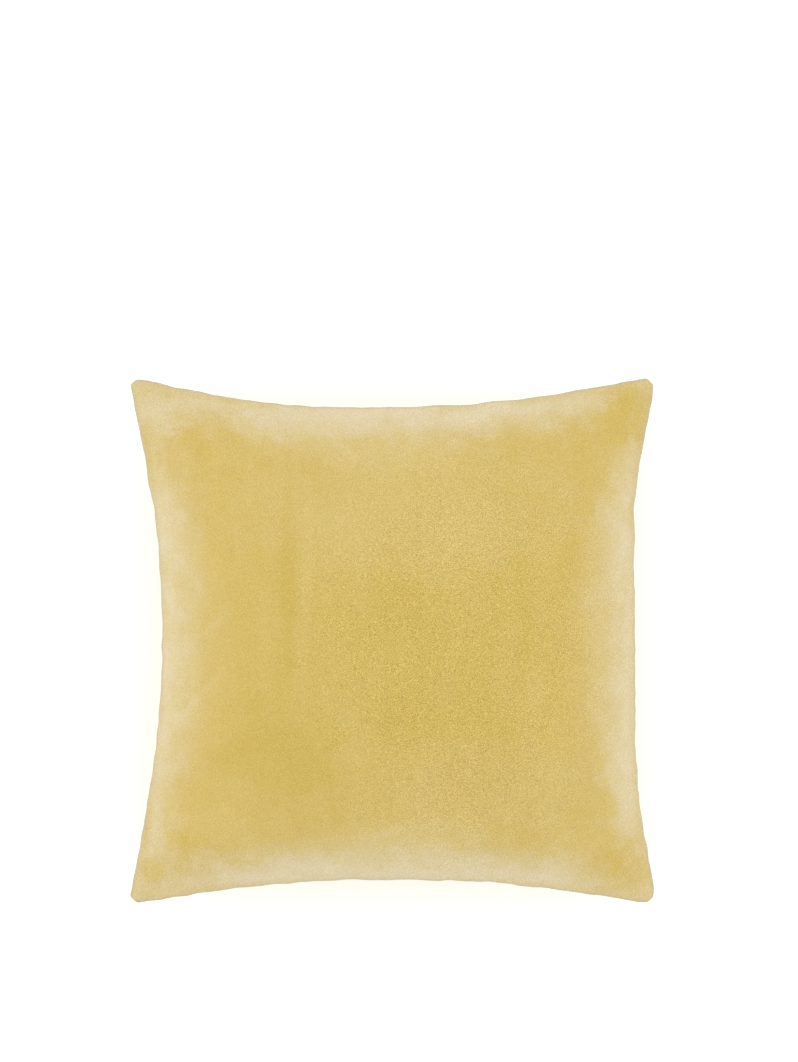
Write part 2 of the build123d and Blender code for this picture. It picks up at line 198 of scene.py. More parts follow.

# Where the pile is painted paler: strips along the seams add painted sheen, patches further in add paler nap,
# and the negative ones at the corner tips take painted sheen away: across, up, half width, half height,
# raggedness, how pale.
NAP_AND_SHEEN_OVALS = [
    (-0.020, 0.188, 0.190, 0.020, 0.50, 0.22),
    (0.000, 0.120, 0.190, 0.070, 0.30, 0.08),
    (0.090, -0.120, 0.120, 0.045, 0.50, 0.09),
    (0.170, 0.000, 0.035, 0.150, 0.40, 0.07),
    (-0.175, 0.060, 0.020, 0.130, 0.50, 0.10),
    (-0.195, 0.190, 0.020, 0.020, 0.60, 0.25),
    (0.000, -0.188, 0.200, 0.022, 0.50, 0.12),
    (-0.205, -0.195, 0.012, 0.012, 0.40, -0.30),
    (0.196, 0.196, 0.034, 0.026, 0.60, -0.32),
    (0.190, -0.196, 0.034, 0.022, 0.60, -0.22),
    (-0.206, 0.160, 0.018, 0.034, 0.60, -0.22),
]

# Where the pile stands most upright and its grain shows most.
UPRIGHT = (0.060, -0.010, 0.140, 0.190, 0.30)

# Each side: draw-in at its middle, shape along it, shape at its ends, lean, how far its corners stand out.
PULLS = {
    "left": (HALF - side_reach(0, -1), 2.0, 1.25, 0.05, 0.0022),
    "right": (HALF - side_reach(0, 1), 4.0, 1.9, 0.12, 0.0004),
    "bottom": (HALF - side_reach(1, -1), 2.2, 1.3, 0.0, 0.0019),
    "top": (HALF - side_reach(1, 1), 2.3, 1.3, -0.16, 0.0016),
}


def draw_in(side, along):
    """How far a side is drawn in at a place along it, from -1 to 1."""
    pull, flat, ends, lean, corners = PULLS[side]
    share = np.clip(1 - np.abs(along) ** flat, 0, 1) ** ends * (1 + lean * along)
    return (pull + corners) * share - corners


def base_surface(u, v, side):
    """The filled pillow's smooth skin: side is 1 for the front and -1 for the back."""
    x = u * (HALF - (1 - u) / 2 * draw_in("left", v) - (1 + u) / 2 * draw_in("right", v))
    y = v * (HALF - (1 - v) / 2 * draw_in("bottom", u) - (1 + v) / 2 * draw_in("top", u))
    to_side = np.clip(1 - (1 - np.abs(u)) * HALF / CORNER_ROUND, 0, 1)
    to_end = np.clip(1 - (1 - np.abs(v)) * HALF / CORNER_ROUND, 0, 1)
    x = x - np.sign(u) * CORNER_ROUND * to_side * (1 - np.sqrt(1 - to_end**2 / 2))
    y = y - np.sign(v) * CORNER_ROUND * to_end * (1 - np.sqrt(1 - to_side**2 / 2))
    if side > 0:
        height = CROWN * fullness(u, FRONT_SHOULDER) * fullness(v, FRONT_SHOULDER)
    else:
        height = -BELLY * fullness(u, BACK_SHOULDER) * fullness(v, BACK_SHOULDER)
    gap = np.minimum(1 - np.abs(u), 1 - np.abs(v)) * HALF
    layers = CORNER_LAYERS * (1 - np.exp(-((gap / 0.005) ** 2)))
    full = np.abs(height)
    blend = 0.0006
    height = side * 0.5 * (full + layers + np.sqrt((full - layers) ** 2 + blend**2) - blend)
    return np.stack([x, y, height], axis=-1)


def grid_axis(count):
    """Places from -1 to 1, closer together towards the seams."""
    t = np.linspace(-1, 1, count + 1)
    return 0.5 * t + 0.5 * np.sin(t * math.pi / 2)


def read_grid(grid, u, v):
    """Smooth reading of an even grid over -1 to 1 at places u, v."""
    count = grid.shape[0] - 1

    def weights(place):
        at = np.clip((place + 1) / 2 * count, 0, count - 1e-6)
        low = np.floor(at).astype(int)
        f = at - low
        w = [
            -0.5 * f + f**2 - 0.5 * f**3,
            1 - 2.5 * f**2 + 1.5 * f**3,
            0.5 * f + 2 * f**2 - 1.5 * f**3,
            -0.5 * f**2 + 0.5 * f**3,
        ]
        index = [np.clip(low + k - 1, 0, count) for k in range(4)]
        return index, w

    iu, wu = weights(u)
    iv, wv = weights(v)
    total = 0
    for a in range(4):
        for b in range(4):
            total = total + grid[iu[a], iv[b]] * (wu[a] * wv[b])[..., None]
    return total


def blur(grid, rounds):
    """Even smoothing of a grid of points, its border kept."""
    out = grid.copy()
    for _ in range(rounds):
        inner = (out[:-2, 1:-1] + out[2:, 1:-1] + out[1:-1, :-2] + out[1:-1, 2:]) / 4
        ends_u = (out[[0, -1], :-2] + out[[0, -1], 2:]) / 2
        ends_v = (out[:-2][:, [0, -1]] + out[2:][:, [0, -1]]) / 2
        nxt = out.copy()
        nxt[1:-1, 1:-1] = inner
        nxt[[0, -1], 1:-1] = ends_u
        nxt[1:-1][:, [0, -1]] = ends_v
        out = nxt
    return out


def closed_grid(count):
    """Two grids, front and back, that share their border: numbers of their corners, the corners, faces."""
    number = {}
    corners = []
    for side in (1, -1):
        for i in range(count + 1):
            for j in range(count + 1):
                edge = i in (0, count) or j in (0, count)
                if side < 0 and edge:
                    number[side, i, j] = number[1, i, j]
                else:
                    number[side, i, j] = len(corners)
                    corners.append((side, i, j, edge))
    faces = []
    for side in (1, -1):
        for i in range(count):
            for j in range(count):
                around = ((i, j), (i + 1, j), (i + 1, j + 1), (i, j + 1))
                quad = [number[side, a, b] for a, b in around]
                faces.append(quad if side > 0 else quad[::-1])
    return number, corners, faces


def settle_panels(shape, count=96):
    """Settles two flat-cut panels sewn round the filled shape. Returns only the creasing on each side."""
    places = np.linspace(-1, 1, count + 1)
    u, v = np.meshgrid(places, places, indexing="ij")
    start = {side: base_surface(u, v, side) for side in (1, -1)}
    number, corners, faces = closed_grid(count)
    points = [tuple(start[side][i, j]) for side, i, j, _ in corners]
    half = shape.cut_size / 2
    flat = [(places[i] * half, places[j] * half, 0 if edge else side * 0.001) for side, i, j, edge in corners]
    mesh = bpy.data.meshes.new("settling_cover")
    mesh.from_pydata(points, [], faces)
    piece = bpy.data.objects.new("settling_cover", mesh)
    bpy.context.scene.collection.objects.link(piece)
    piece.shape_key_add(name="Filled")
    sewn_flat = piece.shape_key_add(name="Cut flat")
    for key, place in zip(sewn_flat.data, flat):
        key.co = place
    sewn_flat.value = 0
    modifier = piece.modifiers.new("Settle", "CLOTH")
    settings = modifier.settings
    settings.rest_shape_key = sewn_flat
    settings.quality = 5
    settings.mass = 0.05
    settings.tension_stiffness = 40
    settings.compression_stiffness = 24
    settings.shear_stiffness = 12
    settings.bending_stiffness = 0.5
    settings.tension_damping = 5
    settings.compression_damping = 5
    settings.shear_damping = 5
    settings.bending_damping = 0.5
    settings.air_damping = 2
    settings.use_pressure = True
    settings.uniform_pressure_force = shape.pressure
    settings.effector_weights.gravity = 0
    modifier.collision_settings.use_collision = False
    modifier.point_cache.frame_end = shape.settle_frames + 1
    for step in range(1, shape.settle_frames + 1):
        bpy.context.scene.frame_set(step)
    settled = piece.evaluated_get(bpy.context.evaluated_depsgraph_get()).to_mesh()
    places_out = np.empty(len(settled.vertices) * 3)
    settled.vertices.foreach_get("co", places_out)
    places_out = places_out.reshape(-1, 3)
    bpy.context.scene.frame_set(1)
    bpy.data.objects.remove(piece)
    creases = {}
    for side in (1, -1):
        table = np.array([[number[side, i, j] for j in range(count + 1)] for i in range(count + 1)])
        grid = places_out[table]
        creases[side] = grid - blur(grid, 60)
    return creases


def seam_ripple(u, v, side, height):
    """Fine ripples along the seams. The sewn edge moves as one; each side puckers a little way in from it."""
    out = np.zeros(u.shape)
    places = np.linspace(-1, 1, 1201)
    for lane, (across, along) in enumerate(((-u, v), (u, v), (-v, u), (v, u))):
        gap = (1 - across) * HALF
        fade = np.exp(-((gap / 0.016) ** 1.3)) * (1 - np.abs(along) ** 6)
        if lane == 2:
            fade = fade * (1 - 0.92 * zip_opening(along))
        slow = np.array([1 + 1.6 * noise.noise((a * 3.1, 7.0 * lane + 40, 0.0)) for a in places])
        edge = np.array([noise.noise((a * 9.0, 7.0 * lane, 0.0)) for a in places]) * slow
        pucker = np.array([noise.noise((a * 15.0, 7.0 * lane, 3.0 * side)) for a in places]) * slow
        away = 1 - np.exp(-((gap / 0.006) ** 2))
        out += fade * (0.7 * np.interp(along, places, edge) + side * away * np.interp(along, places, pucker))
    return out * height * 2.2


def seam_wander(u, v, size):
    """How far the seams stray sideways in the level plane, as offsets in x and y."""
    offsets = [np.zeros(u.shape), np.zeros(u.shape)]
    places = np.linspace(-1, 1, 801)
    sides = ((0, -1, -u, v), (0, 1, u, v), (1, -1, -v, u), (1, 1, v, u))
    for lane, (axis, sign, across, along) in enumerate(sides):
        fade = np.exp(-(1 - across) * HALF / 0.02)
        row = 5.0 * lane
        wave = [noise.noise((a * 9.0, row, 11.0)) + 0.6 * noise.noise((a * 21.0, row, 31.0)) for a in places]
        offsets[axis] += sign * size * fade * np.interp(along, places, wave)
    return offsets


def skin(u, v, side):
    """Points on the outside of the cover."""
    shape = bpy.context.scene.pillow_shape
    points = base_surface(u, v, side)
    if "creases" in cloth:
        crease = read_grid(cloth["creases"][side], u, v) * shape.crease_share
        length = np.linalg.norm(crease, axis=-1, keepdims=True)
        points = points + crease * np.minimum(1, CREASE_LIMIT / np.maximum(length, 1e-9))
    points[..., 2] += seam_ripple(u, v, side, shape.pucker)
    wander_x, wander_y = seam_wander(u, v, shape.seam_wander)
    points[..., 0] += wander_x
    points[..., 1] += wander_y
    points[..., 2] += SEAM_Z
    if side < 0:
        above = points[..., 2] - FLOOR_CLEARANCE
        lifted = above + np.sqrt(above**2 + FLOOR_BLEND**2) - FLOOR_BLEND
        points[..., 2] = FLOOR_CLEARANCE + 0.5 * lifted
    return points


# ---------------------------------------------------------------- mesh helpers

def new_piece(name, points, faces, smooth=True):
    mesh = bpy.data.meshes.new(name)
    mesh.from_pydata([tuple(p) for p in points], [], faces)
    mesh.update()
    if smooth:
        mesh.polygons.foreach_set("use_smooth", [True] * len(mesh.polygons))
    piece = bpy.data.objects.new(name, mesh)
    bpy.context.scene.collection.objects.link(piece)
    return piece


def dress(piece, material, body=BODY):
    piece.data.materials.clear()
    piece.data.materials.append(material)
    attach(piece, body)


def loop_order(count_u, count_v):
    """Grid places round the border of a panel, anticlockwise from the lower left corner."""
    order = [(i, 0) for i in range(count_u)]
    order += [(count_u, j) for j in range(count_v)]
    order += [(i, count_v) for i in range(count_u, 0, -1)]
    order += [(0, j) for j in range(count_v, 0, -1)]
    return order


def panel_mesh(name, count, side, edge_start, surface, rings):
    """A panel with its border turned into the seam.

    edge_start gives, for each column, where the lower edge begins. rings lists how far in and how
    high each row of the turned border lies, or a function giving them for a place on the border."""
    axis = grid_axis(count)
    u, v = np.meshgrid(axis, axis, indexing="ij")
    v = edge_start(u) + (v + 1) / 2 * (1 - edge_start(u))
    edge = surface(u, v, side)
    fold = rings["fold"]
    gap = np.minimum(1 - np.abs(u), np.minimum(1 - v, v - edge_start(u))) * HALF
    points = edge.copy()
    points[..., 2] += side * fold * np.exp(-((gap / (3.2 * fold)) ** 2))
    order = loop_order(count, count)
    flat = points.reshape(-1, 3).tolist()
    number = {(i, j): i * (count + 1) + j for i in range(count + 1) for j in range(count + 1)}
    faces = []
    for i in range(count):
        for j in range(count):
            quad = (number[i, j], number[i + 1, j], number[i + 1, j + 1], number[i, j + 1])
            faces.append(quad if side > 0 else quad[::-1])
    previous = [number[p] for p in order]
    for inset, rise in rings["rows"]:
        current = []
        for i, j in order:
            start = edge[i, j]
            out_u = axis[i]
            out_v = -1.0 if j == 0 else axis[j]
            reach = inset(start[0], j == 0) if callable(inset) else inset
            current.append(len(flat))
            flat.append([start[0] - reach * out_u, start[1] - reach * out_v, start[2] + side * rise])
        for k in range(len(order)):
            nxt = (k + 1) % len(order)
            quad = (previous[nxt], previous[k], current[k], current[nxt])
            faces.append(quad if side > 0 else quad[::-1])
        previous = current
    piece = new_piece(name, flat, faces)
    # Painted shade along the seam: how much of the darker fold colour each point takes, kept as the 'fold'
    # point attribute
    painted_seam_shade_share = np.ones(len(flat))
    painted_seam_shade_share[: gap.size] = np.exp(-((gap.ravel() / SEAM_SHADE) ** 2))
    piece.data.attributes.new("fold", "FLOAT", "POINT").data.foreach_set("value", painted_seam_shade_share)
    return piece


def seam_rows(fold, allowance):
    """How the velvet turns in at the seam, from the visible edge to the raw edge."""
    return [
        (-0.30 * fold, 0.62 * fold),
        (-0.22 * fold, 0.28 * fold),
        (0.35 * fold, 0.07 * fold),
        (1.6 * fold, 0.03 * fold),
        (0.5 * ALLOWANCE, 0.03 * fold),
        (allowance, 0.03 * fold),
    ]


def thicken(piece, thickness):
    modifier = piece.modifiers.new("Thickness", "SOLIDIFY")
    modifier.thickness = thickness
    modifier.offset = -1
    modifier.use_rim = True


def tube(name, paths, radius):
    """Thread or wire along lists of points, as one curve piece."""
    curve = bpy.data.curves.new(name, "CURVE")
    curve.dimensions = "3D"
    curve.bevel_depth = radius
    curve.bevel_resolution = 1
    for path in paths:
        spline = curve.splines.new("POLY")
        spline.points.add(len(path) - 1)
        for point, place in zip(spline.points, path):
            point.co = (*place, 1)
    piece = bpy.data.objects.new(name, curve)
    bpy.context.scene.collection.objects.link(piece)
    return piece


# ---------------------------------------------------------------- shader groups

def new_group(name, inputs, outputs):
    """A shader group whose sockets are numbers."""
    group = bpy.data.node_groups.new(name, "ShaderNodeTree")
    for label, value in inputs.items():
        socket = group.interface.new_socket(name=label, in_out="INPUT", socket_type="NodeSocketFloat")
        socket.default_value = value
    for label in outputs:
        group.interface.new_socket(name=label, in_out="OUTPUT", socket_type="NodeSocketFloat")
    return group, group.nodes.new("NodeGroupInput"), group.nodes.new("NodeGroupOutput")


def add(tree, kind, **settings):
    node = tree.nodes.new(kind)
    for key, value in settings.items():
        if key == "sockets":
            for label, content in value.items():
                node.inputs[label].default_value = content
        else:
            setattr(node, key, value)
    return node


def feed(tree, content, socket):
    """Gives a socket what it takes: another socket's output or a plain value. None leaves it as it is."""
    if hasattr(content, "is_output"):
        tree.links.new(content, socket)
    elif content is not None:
        socket.default_value = content


def math_node(group, operation, first, second=None, third=None, clamp=False):
    """One step of arithmetic inside a shader group."""
    node = add(group, "ShaderNodeMath", operation=operation, use_clamp=clamp)
    for number, content in enumerate((first, second, third)):
        feed(group, content, node.inputs[number])
    return node.outputs[0]


def blend_between(group, share, first, second):
    node = add(group, "ShaderNodeMix", data_type="FLOAT")
    for number, content in ((0, share), (2, first), (3, second)):
        feed(group, content, node.inputs[number])
    return node.outputs[0]


def noise_at(group, vector, scale, detail=3.0, roughness=0.5):
    node = add(group, "ShaderNodeTexNoise", sockets={"Detail": detail, "Roughness": roughness})
    feed(group, vector, node.inputs["Vector"])
    feed(group, scale, node.inputs["Scale"])
    return node.outputs["Fac"]


def smooth_step(group, value, low, high):
    node = add(group, "ShaderNodeMapRange", interpolation_type="SMOOTHSTEP")
    for label, content in (("Value", value), ("From Min", low), ("From Max", high)):
        feed(group, content, node.inputs[label])
    return node.outputs["Result"]


def nap_group():
    """Cloudy nap: soft patches and long streaks where the pile leans one way or the other."""
    group, inside, outside = new_group(
        "Nap clouds", {"Patch Size": 22.0, "Streaks": 0.4, "Contrast": 1.0}, ["Mask"])
    where = add(group, "ShaderNodeTexCoord").outputs["Object"]
    patches = noise_at(group, where, inside.outputs["Patch Size"], 5.0, 0.6)
    stretch = add(group, "ShaderNodeMapping", sockets={"Scale": (70.0, 9.0, 9.0)})
    group.links.new(where, stretch.inputs["Vector"])
    streaks = noise_at(group, stretch.outputs["Vector"], 1.0, 4.0, 0.55)
    clouds = blend_between(group, inside.outputs["Streaks"], patches, streaks)
    centred = math_node(group, "SUBTRACT", clouds, 0.5)
    gain = math_node(group, "MULTIPLY", inside.outputs["Contrast"], 3.2)
    mask = math_node(group, "MULTIPLY_ADD", centred, gain, 0.5, clamp=True)
    group.links.new(mask, outside.inputs["Mask"])
    return group


def ragged_oval_group():
    """A soft, ragged oval mask, used for patches of brushed nap and for where painted sheen is added or taken
    away.
    """
    group, inside, outside = new_group(
        "Ragged oval",
        {"Across": 0.0, "Up": 0.0, "Half Width": 0.02, "Half Height": 0.05, "Ragged": 0.5}, ["Mask"])
    where = add(group, "ShaderNodeTexCoord").outputs["Object"]
    parts = add(group, "ShaderNodeSeparateXYZ")
    group.links.new(where, parts.inputs[0])
    across = math_node(group, "SUBTRACT", parts.outputs["X"], inside.outputs["Across"])
    across = math_node(group, "DIVIDE", across, inside.outputs["Half Width"])
    up = math_node(group, "SUBTRACT", parts.outputs["Y"], inside.outputs["Up"])
    up = math_node(group, "DIVIDE", up, inside.outputs["Half Height"])
    squares = [math_node(group, "POWER", way, 2.0) for way in (across, up)]
    far = math_node(group, "SQRT", math_node(group, "ADD", *squares))
    rough = math_node(group, "SUBTRACT", noise_at(group, where, 38.0, 4.0, 0.6), 0.5)
    ragged = math_node(group, "MULTIPLY", inside.outputs["Ragged"], 4.0)
    far = math_node(group, "MULTIPLY_ADD", rough, ragged, far)
    near = math_node(group, "SUBTRACT", 1.0, smooth_step(group, far, 0.45, 1.15))
    group.links.new(near, outside.inputs["Mask"])
    return group


def seam_sheen_group():
    """Painted sheen along the seams: a pale mottled border that fades towards the middle."""
    group, inside, outside = new_group(
        "Painted seam sheen", {"Half Size": 0.22, "Width": 0.05, "Mottle": 1.0}, ["Mask"])
    where = add(group, "ShaderNodeTexCoord").outputs["Object"]
    parts = add(group, "ShaderNodeSeparateXYZ")
    group.links.new(where, parts.inputs[0])
    reach = [math_node(group, "ABSOLUTE", parts.outputs[name]) for name in ("X", "Y")]
    farther = math_node(group, "MAXIMUM", reach[0], reach[1])
    gap = math_node(group, "SUBTRACT", inside.outputs["Half Size"], farther)
    share = math_node(group, "DIVIDE", gap, inside.outputs["Width"])
    mottle = math_node(group, "SUBTRACT", noise_at(group, where, 34.0, 6.0, 0.68), 0.5)
    amount = math_node(group, "MULTIPLY", inside.outputs["Mottle"], 3.0)
    share = math_node(group, "MULTIPLY_ADD", mottle, amount, share)
    mask = math_node(group, "SUBTRACT", 1.0, smooth_step(group, share, -0.1, 1.0))
    group.links.new(mask, outside.inputs["Mask"])
    return group


def grain_group():
    """Fine grain of upright fibres or of matted cloth."""
    group, inside, outside = new_group(
        "Fibre grain", {"Size": 900.0, "Clump": 0.5, "Crisp": 1.0}, ["Height", "Fleck"])
    where = add(group, "ShaderNodeTexCoord").outputs["Object"]
    rows = add(group, "ShaderNodeMapping", sockets={"Scale": (0.75, 1.25, 1.0)})
    group.links.new(where, rows.inputs["Vector"])
    fine = noise_at(group, rows.outputs["Vector"], inside.outputs["Size"], 1.0, 0.5)
    clumps = noise_at(group, where, math_node(group, "MULTIPLY", inside.outputs["Size"], 0.32), 2.0, 0.5)
    height = blend_between(group, inside.outputs["Clump"], fine, clumps)
    group.links.new(height, outside.inputs["Height"])
    spread = math_node(group, "DIVIDE", 0.15, inside.outputs["Crisp"])
    low = math_node(group, "SUBTRACT", 0.5, spread)
    high = math_node(group, "ADD", 0.5, spread)
    group.links.new(smooth_step(group, height, low, high), outside.inputs["Fleck"])
    return group


def weave_group():
    """Plain weave of fine yarns, for tape and ribbon."""
    group, inside, outside = new_group("Tape weave", {"Yarns": 1400.0}, ["Height"])
    link = group.links.new
    where = add(group, "ShaderNodeTexCoord")
    waves = []
    for direction in ("X", "Y"):
        rough = {"Distortion": 0.4, "Detail": 1.0}
        wave = add(group, "ShaderNodeTexWave", bands_direction=direction, sockets=rough)
        link(where.outputs["Object"], wave.inputs["Vector"])
        link(inside.outputs["Yarns"], wave.inputs["Scale"])
        waves.append(wave)
    both = add(group, "ShaderNodeMath", operation="MULTIPLY")
    link(waves[0].outputs["Fac"], both.inputs[0])
    link(waves[1].outputs["Fac"], both.inputs[1])
    link(both.outputs[0], outside.inputs["Height"])
    return group


def shared(name):
    """A shader group, built the first time that it is asked for."""
    makers = {
        "Nap clouds": nap_group, "Ragged oval": ragged_oval_group, "Painted seam sheen": seam_sheen_group,
        "Fibre grain": grain_group, "Tape weave": weave_group,
    }
    return bpy.data.node_groups.get(name) or makers[name]()


def use_group(tree, name, **values):
    node = tree.nodes.new("ShaderNodeGroup")
    node.node_tree = shared(name)
    for label, value in values.items():
        node.inputs[label.replace("_", " ")].default_value = value
    return node


def new_material(name, roughness=0.9, metallic=0.0, sheen=0.0, sheen_roughness=0.4, sheen_tint=(1, 1, 1)):
    material = bpy.data.materials.new(name)
    material.use_nodes = True
    tree = material.node_tree
    shader = tree.nodes["Principled BSDF"]
    shader.inputs["Roughness"].default_value = roughness
    shader.inputs["Metallic"].default_value = metallic
    shader.inputs["Sheen Weight"].default_value = sheen
    shader.inputs["Sheen Roughness"].default_value = sheen_roughness
    shader.inputs["Sheen Tint"].default_value = (*sheen_tint, 1)
    return material, tree, shader


def mix_colour(tree, factor, first, second, blend="MIX"):
    node = add(tree, "ShaderNodeMix", data_type="RGBA", blend_type=blend, clamp_factor=True)
    feed(tree, factor, node.inputs[0])
    for number, content in ((6, first), (7, second)):
        feed(tree, content if hasattr(content, "is_output") else (*content, 1), node.inputs[number])
    return node.outputs[2]


def set_bump(tree, shader, height, strength, distance):
    bump = add(tree, "ShaderNodeBump", sockets={"Strength": strength, "Distance": distance})
    tree.links.new(height, bump.inputs["Height"])
    tree.links.new(bump.outputs["Normal"], shader.inputs["Normal"])


def add_ragged_ovals(tree, value, strokes):
    """Adds a list of soft, ragged ovals to a mask, each by its own amount."""
    for across, up, half_width, half_height, ragged, amount in strokes:
        stroke = use_group(
            tree, "Ragged oval", Across=across, Up=up,
            Half_Width=half_width, Half_Height=half_height, Ragged=ragged)
        value = math_node(tree, "MULTIPLY_ADD", stroke.outputs["Mask"], amount, value)
    return value


def velvet_material():
    """Short cut pile: brushed patches of nap, painted sheen as a pale mottled border along the seams and as
    paler colour at a shallow angle, and painted shade as a thin darker line where the pile turns over the
    seam.
    """
    colours = bpy.context.scene.pillow_colours
    material, tree, shader = new_material(
        "Gold velvet", roughness=0.95, sheen=0.22, sheen_roughness=0.5, sheen_tint=(1.0, 0.93, 0.74))
    shader.inputs["Specular IOR Level"].default_value = 0.12
    nap = use_group(tree, "Nap clouds", Patch_Size=14.0, Streaks=0.35, Contrast=0.8)
    grain = use_group(tree, "Fibre grain", Size=1500.0, Clump=0.1, Crisp=1.2)
    tone = add_ragged_ovals(tree, nap.outputs["Mask"], BRUSHED)
    leaning = mix_colour(tree, tone, colours.pile_deep, colours.pile)
    # Painted sheen: the pile is painted paler along the seams, from the seam border mask, and where the
    # surface turns away from the view, from the facing angle
    border = use_group(tree, "Painted seam sheen", Half_Size=HALF - 0.010, Width=0.045, Mottle=0.75)
    edge = add(tree, "ShaderNodeLayerWeight", sockets={"Blend": 0.5})
    slope = smooth_step(tree, edge.outputs["Facing"], 0.08, 0.48)
    painted_sheen_at_slope = math_node(tree, "MULTIPLY", slope, 0.55)
    pale = math_node(tree, "MULTIPLY_ADD", border.outputs["Mask"], 0.55, painted_sheen_at_slope)
    clouded = math_node(tree, "MULTIPLY_ADD", nap.outputs["Mask"], 0.36, 0.77)
    pale = math_node(tree, "MULTIPLY", pale, clouded)
    # Painted sheen added in strips along the seams and taken away at the corner tips, with paler nap further
    # in
    pale = add_ragged_ovals(tree, pale, NAP_AND_SHEEN_OVALS)
    with_painted_sheen = mix_colour(tree, pale, leaning, colours.painted_sheen)
    # Painted shade: a thin darker line where the pile turns over the seam, read from the 'fold' point
    # attribute
    fold = add(tree, "ShaderNodeAttribute", attribute_name="fold")
    painted_seam_shade = math_node(tree, "MULTIPLY", fold.outputs["Fac"], 0.8)
    turned = mix_colour(tree, painted_seam_shade, with_painted_sheen, colours.edge)
    flecks = mix_colour(tree, grain.outputs["Fleck"], (0.72, 0.70, 0.60), (1.28, 1.28, 1.32))
    upright = add_ragged_ovals(tree, 0.42, [(*UPRIGHT, 0.45)])
    final = mix_colour(tree, upright, turned, flecks, blend="MULTIPLY")
    tree.links.new(final, shader.inputs["Base Color"])
    set_bump(tree, shader, grain.outputs["Height"], 0.6, 0.0009)
    return material


def shaded(colour, share):
    return tuple(share * c for c in colour)


def fibre_material(name, colour, dark, size, clump, bump, **look):
    """Thread, nonwoven, loose fibre or nylon: one fine grain between a colour and a darker one."""
    material, tree, shader = new_material(name, **look)
    grain = use_group(tree, "Fibre grain", Size=size, Clump=clump)
    tree.links.new(mix_colour(tree, grain.outputs["Fleck"], dark, colour), shader.inputs["Base Color"])
    if bump:
        set_bump(tree, shader, grain.outputs["Height"], *bump)
    return material


def thread_material(name, colour):
    return fibre_material(
        name, colour, shaded(colour, 0.7), 2600.0, 0.3, (0.5, 0.0002), roughness=0.7, sheen=0.2)


def ribbon_material(name, colour, yarns):
    material, tree, shader = new_material(name, roughness=0.8, sheen=0.15)
    weave = use_group(tree, "Tape weave", Yarns=yarns)
    dark = shaded(colour, 0.72)
    tree.links.new(mix_colour(tree, weave.outputs["Height"], dark, colour), shader.inputs["Base Color"])
    set_bump(tree, shader, weave.outputs["Height"], 0.5, 0.0002)
    return material


def enamel_material(name, colour, metallic, roughness):
    """Enamelled or bare zip metal, its tone and roughness varied in small patches."""
    material, tree, shader = new_material(name, roughness=roughness, metallic=metallic)
    rub = use_group(tree, "Nap clouds", Patch_Size=420.0, Streaks=0.1, Contrast=1.2)
    dark = shaded(colour, 0.8)
    tree.links.new(mix_colour(tree, rub.outputs["Mask"], dark, colour), shader.inputs["Base Color"])
    rough = add(tree, "ShaderNodeMapRange", sockets={"To Min": roughness * 0.8, "To Max": roughness * 1.3})
    tree.links.new(rub.outputs["Mask"], rough.inputs["Value"])
    tree.links.new(rough.outputs["Result"], shader.inputs["Roughness"])
    return material


def material(name):
    """One of the pillow's materials, made the first time that it is asked for."""
    colours = bpy.context.scene.pillow_colours
    gold = tuple(colours.thread)
    case = tuple(colours.nonwoven)
    makers = {
        "Gold velvet": velvet_material,
        "Gold thread": lambda: thread_material(name, gold),
        "Overlock thread": lambda: thread_material(name, (0.56, 0.45, 0.20)),
        "White thread": lambda: thread_material(name, (0.8, 0.8, 0.79)),
        "Gold zip tape": lambda: ribbon_material(name, gold, 1500.0),
        "White satin": lambda: ribbon_material(name, (0.82, 0.81, 0.79), 2600.0),
        "White nonwoven": lambda: fibre_material(
            name, case, shaded(case, 0.86), 420.0, 0.2, (0.35, 0.0004), roughness=0.85, sheen=0.1),
        "Loose polyester fibre": lambda: fibre_material(
            name, (0.93, 0.93, 0.94), (0.78, 0.78, 0.79), 260.0, 0.6, (0.8, 0.002), roughness=1.0, sheen=0.4),
        "Dyed nylon coil": lambda: fibre_material(
            name, gold, shaded(gold, 0.85), 1500.0, 0.5, None, roughness=0.32),
        "Gold enamel": lambda: enamel_material(name, gold, 0.3, 0.38),
        "Bare aluminium": lambda: enamel_material(name, (0.52, 0.51, 0.50), 0.9, 0.42),
    }
    return bpy.data.materials.get(name) or makers[name]()


# ---------------------------------------------------------------- zip line

CHAIN_Z = SEAM_Z - WINDOW_DROP / 2
TRAVEL = next(j for j in frame["joints"] if j["name"] == "zip_travel")
ARC_Y = TRAVEL["pos_m"][1]
SEAM_MIDDLE_Y = -side_reach(1, -1)
SEAM_RADIUS = SEAM_MIDDLE_Y - ARC_Y


def on_seam(along, inward, height):
    """A point at a distance along the bottom seam, behind the front edge and above the floor."""
    turn = along / SEAM_RADIUS
    reach = SEAM_RADIUS + inward
    return (reach * math.sin(turn), ARC_Y + reach * math.cos(turn), height)


# ---------------------------------------------------------------- seams, threads and ribbons

def zip_opening(u):
    """1 where the zip's opening is and 0 outside it, with a short run-out at each end."""
    over = (np.abs(u) * HALF - WINDOW_HALF) / 0.007
    return 1 - np.clip(over, 0, 1) ** 2 * (3 - 2 * np.clip(over, 0, 1))


def lapped_edge(u):
    """Where the back panel's lower edge lies: cut back at the zip until it is below the chain."""
    columns = u[:, 0]
    steps = np.linspace(-1, -0.8, 161)
    edge = []
    for place, share in zip(columns, zip_opening(columns)):
        heights = SEAM_Z - skin(np.full(161, place), steps, -1)[:, 2]
        below = np.maximum.accumulate(heights)
        edge.append(np.interp(WINDOW_DROP * share, below, steps) if share > 0 else -1.0)
    return np.repeat(np.array(edge)[:, None], u.shape[1], axis=1)


